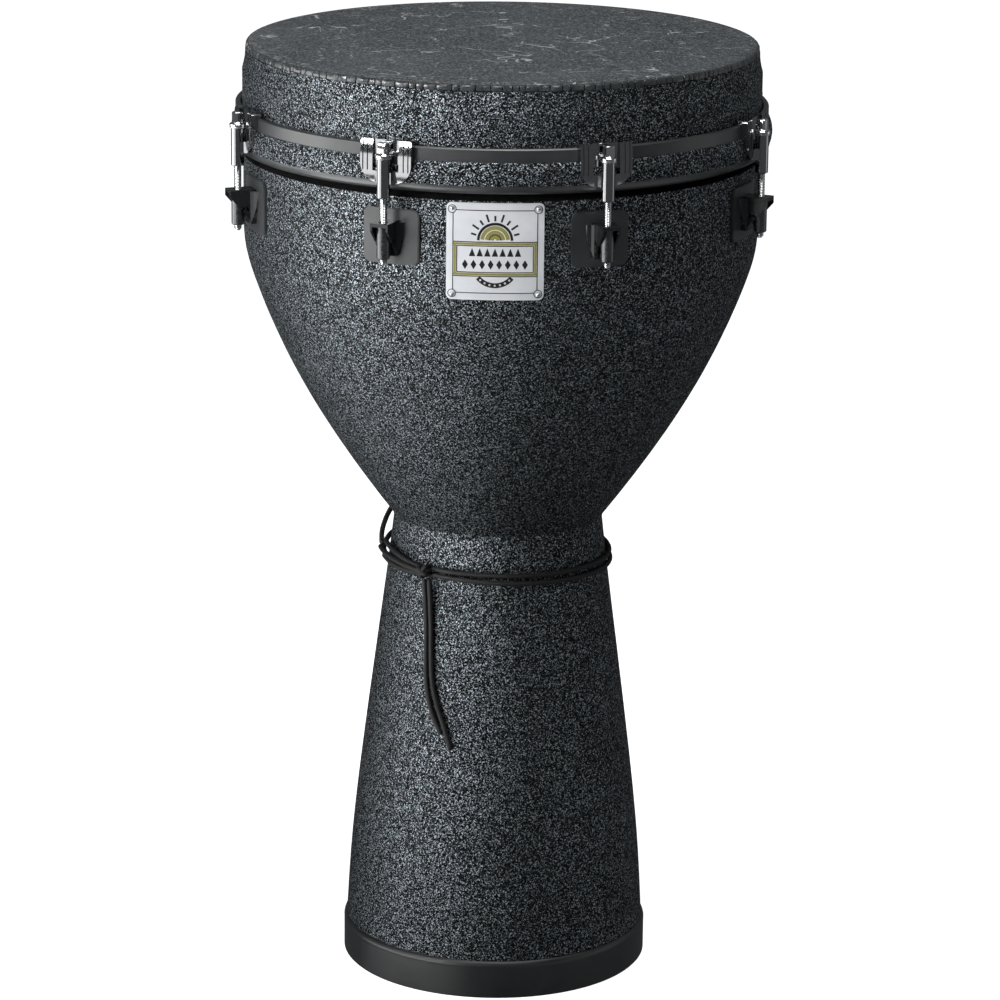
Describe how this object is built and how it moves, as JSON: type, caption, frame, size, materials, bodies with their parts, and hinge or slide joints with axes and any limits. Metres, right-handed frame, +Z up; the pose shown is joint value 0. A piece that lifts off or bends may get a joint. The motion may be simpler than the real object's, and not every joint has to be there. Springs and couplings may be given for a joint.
{
  "type": "djembe",
  "caption": "Goblet-shaped hand drum with a key-tuned synthetic head, tension rods round the rim and a braided cord at the neck.",
  "frame": {"origin": "centre of the foot's rest face, on the drum's axis", "axes": "+Z up along the drum's axis, the nameplate faces -Y"},
  "size_m": [0.372, 0.372, 0.66],
  "materials": {
    "shell_coating": "coarse speckled black texture coating",
    "inner_plastic": "matt",
    "foot_rubber": "satin",
    "plate_metal": "satin with printed ornament",
    "pin_metal": "polished",
    "zinc_steel": "zinc plated",
    "film": "dark with pale marbling",
    "hoop_metal": "mill",
    "strap_black": "satin",
    "lip_black": "satin",
    "bright_chrome": "polished",
    "hardware_black": "gloss",
    "nut_black": "gloss",
    "black_chrome": "mirror gloss",
    "braided_cord": "braided nylon"
  },
  "bodies": {
    "drum_body": {"bowl_shell": "shell_coating", "stem_shell": "shell_coating", "neck_sleeve": "inner_plastic", "foot_bumper": "foot_rubber", "nameplate": "plate_metal", "nameplate_pins": "pin_metal", "lug_screws": "zinc_steel", "lug_washers": "zinc_steel", "cord_loop_lower": "braided_cord", "cord_loop_upper": "braided_cord", "cord_knot": "braided_cord", "cord_tail_a": "braided_cord", "cord_tail_b": "braided_cord", "lug_1": "hardware_black", "lug_2": "hardware_black", "lug_3": "hardware_black", "lug_4": "hardware_black", "lug_5": "hardware_black", "lug_6": "hardware_black", "lug_7": "hardware_black", "lug_8": "hardware_black", "lug_nut_1": "nut_black", "lug_nut_2": "nut_black", "lug_nut_3": "nut_black", "lug_nut_4": "nut_black", "lug_nut_5": "nut_black", "lug_nut_6": "nut_black", "lug_nut_7": "nut_black", "lug_nut_8": "nut_black"},
    "tuning_head": {"head_film": "film", "head_collar": "shell_coating", "flesh_hoop": "hoop_metal", "counter_hoop": "strap_black", "hoop_rim": "shell_coating", "rim_lip": "lip_black", "rod_washers": "bright_chrome", "bracket_1": "hardware_black", "bracket_2": "hardware_black", "bracket_3": "hardware_black", "bracket_4": "hardware_black", "bracket_5": "hardware_black", "bracket_6": "hardware_black", "bracket_7": "hardware_black", "bracket_8": "hardware_black", "guide_tube_1": "black_chrome", "guide_tube_2": "black_chrome", "guide_tube_3": "black_chrome", "guide_tube_4": "black_chrome", "guide_tube_5": "black_chrome", "guide_tube_6": "black_chrome", "guide_tube_7": "black_chrome", "guide_tube_8": "black_chrome"},
    "rod_body_1": {"tension_rod_1": "bright_chrome"},
    "rod_body_2": {"tension_rod_2": "bright_chrome"},
    "rod_body_3": {"tension_rod_3": "bright_chrome"},
    "rod_body_4": {"tension_rod_4": "bright_chrome"},
    "rod_body_5": {"tension_rod_5": "bright_chrome"},
    "rod_body_6": {"tension_rod_6": "bright_chrome"},
    "rod_body_7": {"tension_rod_7": "bright_chrome"},
    "rod_body_8": {"tension_rod_8": "bright_chrome"}
  },
  "joints": [
    {"name": "head_lift", "type": "slide", "parent": "drum_body", "child": "tuning_head", "axis": [0, 0, 1], "range_m": [0, 0.022]},
    {"name": "rod_turn_1", "type": "hinge", "parent": "tuning_head", "child": "rod_body_1", "pos_m": [-0.07309, -0.17646, 0.6], "axis": [0, 0, 1], "range_deg": [0, 7490]},
    {"name": "rod_turn_2", "type": "hinge", "parent": "tuning_head", "child": "rod_body_2", "pos_m": [0.07309, -0.17646, 0.6], "axis": [0, 0, 1], "range_deg": [0, 7490]},
    {"name": "rod_turn_3", "type": "hinge", "parent": "tuning_head", "child": "rod_body_3", "pos_m": [0.17646, -0.07309, 0.6], "axis": [0, 0, 1], "range_deg": [0, 7490]},
    {"name": "rod_turn_4", "type": "hinge", "parent": "tuning_head", "child": "rod_body_4", "pos_m": [0.17646, 0.07309, 0.6], "axis": [0, 0, 1], "range_deg": [0, 7490]},
    {"name": "rod_turn_5", "type": "hinge", "parent": "tuning_head", "child": "rod_body_5", "pos_m": [0.07309, 0.17646, 0.6], "axis": [0, 0, 1], "range_deg": [0, 7490]},
    {"name": "rod_turn_6", "type": "hinge", "parent": "tuning_head", "child": "rod_body_6", "pos_m": [-0.07309, 0.17646, 0.6], "axis": [0, 0, 1], "range_deg": [0, 7490]},
    {"name": "rod_turn_7", "type": "hinge", "parent": "tuning_head", "child": "rod_body_7", "pos_m": [-0.17646, 0.07309, 0.6], "axis": [0, 0, 1], "range_deg": [0, 7490]},
    {"name": "rod_turn_8", "type": "hinge", "parent": "tuning_head", "child": "rod_body_8", "pos_m": [-0.17646, -0.07309, 0.6], "axis": [0, 0, 1], "range_deg": [0, 7490]}
  ],
  "couplings": [
    {"joint": "rod_turn_1", "follows": "head_lift", "rad_per_m": 5936.9},
    {"joint": "rod_turn_2", "follows": "head_lift", "rad_per_m": 5936.9},
    {"joint": "rod_turn_3", "follows": "head_lift", "rad_per_m": 5936.9},
    {"joint": "rod_turn_4", "follows": "head_lift", "rad_per_m": 5936.9},
    {"joint": "rod_turn_5", "follows": "head_lift", "rad_per_m": 5936.9},
    {"joint": "rod_turn_6", "follows": "head_lift", "rad_per_m": 5936.9},
    {"joint": "rod_turn_7", "follows": "head_lift", "rad_per_m": 5936.9},
    {"joint": "rod_turn_8", "follows": "head_lift", "rad_per_m": 5936.9}
  ]
}
